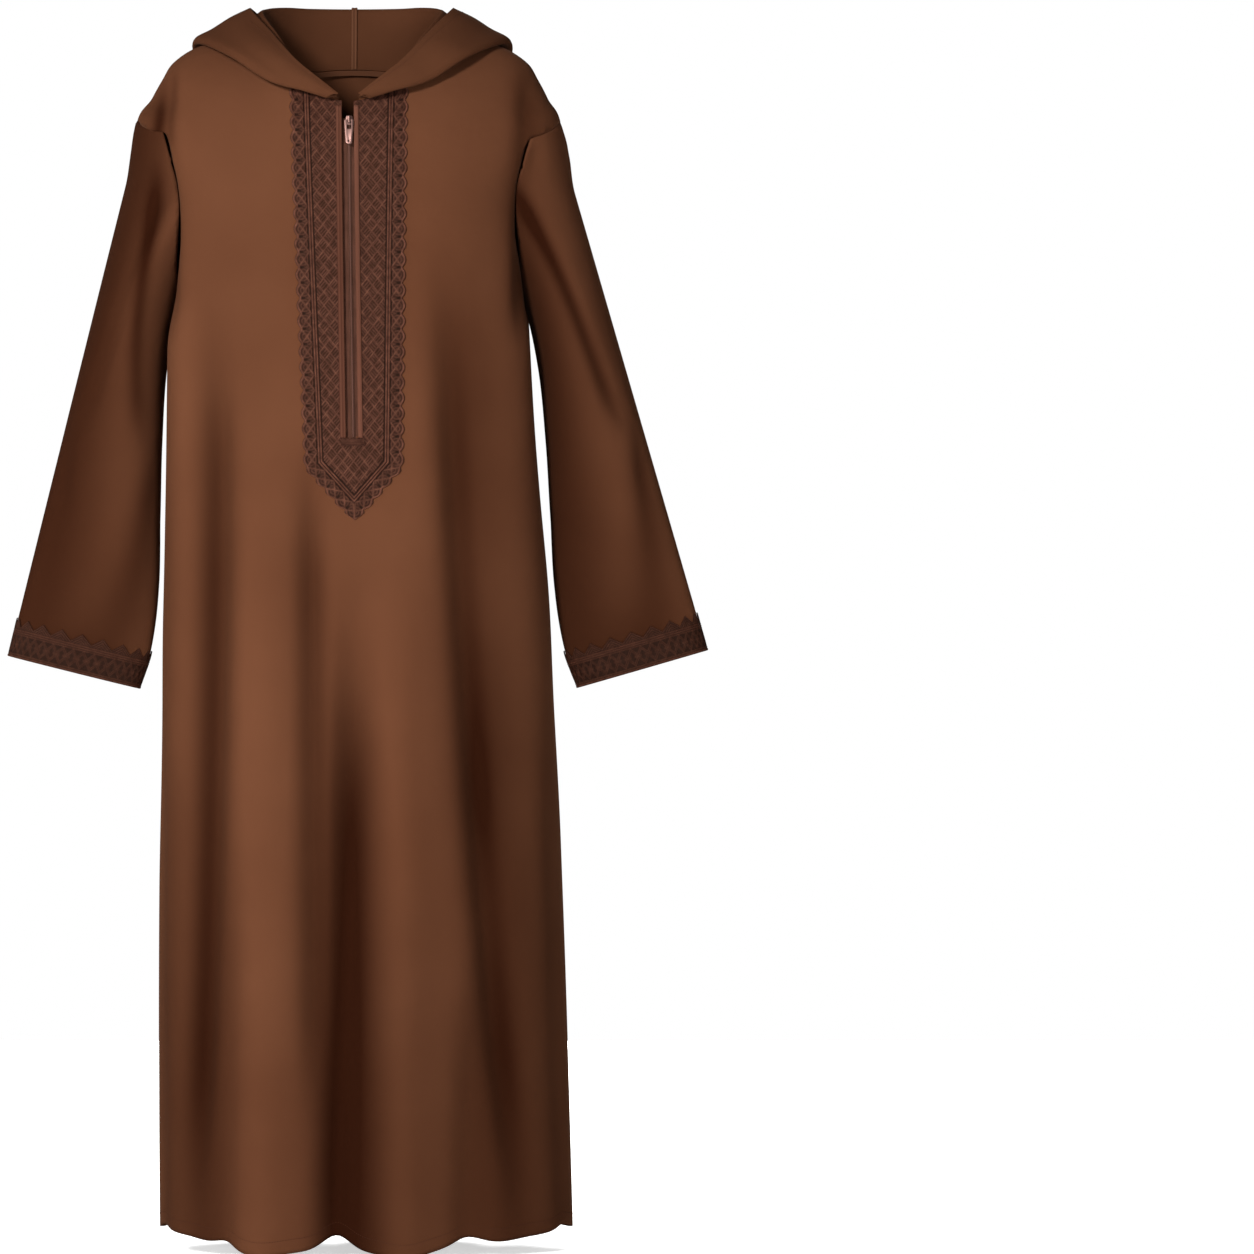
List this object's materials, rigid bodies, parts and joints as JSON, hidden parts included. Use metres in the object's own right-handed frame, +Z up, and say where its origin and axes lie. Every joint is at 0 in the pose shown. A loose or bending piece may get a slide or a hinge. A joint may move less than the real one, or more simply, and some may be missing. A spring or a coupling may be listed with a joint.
{
  "type": "hooded abaya",
  "caption": "Long hooded robe with a zipped embroidered placket, straight long sleeves and embroidered cuff bands, filled out as if worn with the hood down.",
  "frame": {"origin": "middle of the neck opening, level with the shoulders, where the garment is carried by whoever wears it", "axes": "+Z up, along the garment's length; -Y is the front; +X is the wearer's left"},
  "size_m": [0.8203, 0.3225, 1.4575],
  "materials": {
    "crepe": "brown crepe with a soft sheen",
    "embroidery": "dense tone-on-tone thread",
    "zip_cloth": "woven tape",
    "zip_teeth": "satin coil",
    "metal": "polished rose copper"
  },
  "bodies": {
    "garment": {"front_panel": "crepe", "back_panel": "crepe", "sleeve_left": "crepe", "sleeve_right": "crepe", "cuff_trim_left": "embroidery", "cuff_trim_right": "embroidery", "hood_left": "crepe", "hood_right": "crepe", "hood_seam_tape": "crepe", "neck_tape": "crepe", "placket_trim": "embroidery", "zip_welt_right": "crepe", "zip_welt_left": "crepe", "zip_tape": "zip_cloth", "zip_coil": "zip_teeth", "zip_stop": "embroidery", "zip_slider": "metal"},
    "zip_pull": {"zip_pull": "metal"}
  },
  "joints": [
    {"name": "zip_pull_hinge", "type": "hinge", "parent": "garment", "child": "zip_pull", "pos_m": [0.00084, -0.10952, -0.06609], "axis": [-1, 0, 0], "range_deg": [0, 150]}
  ]
}
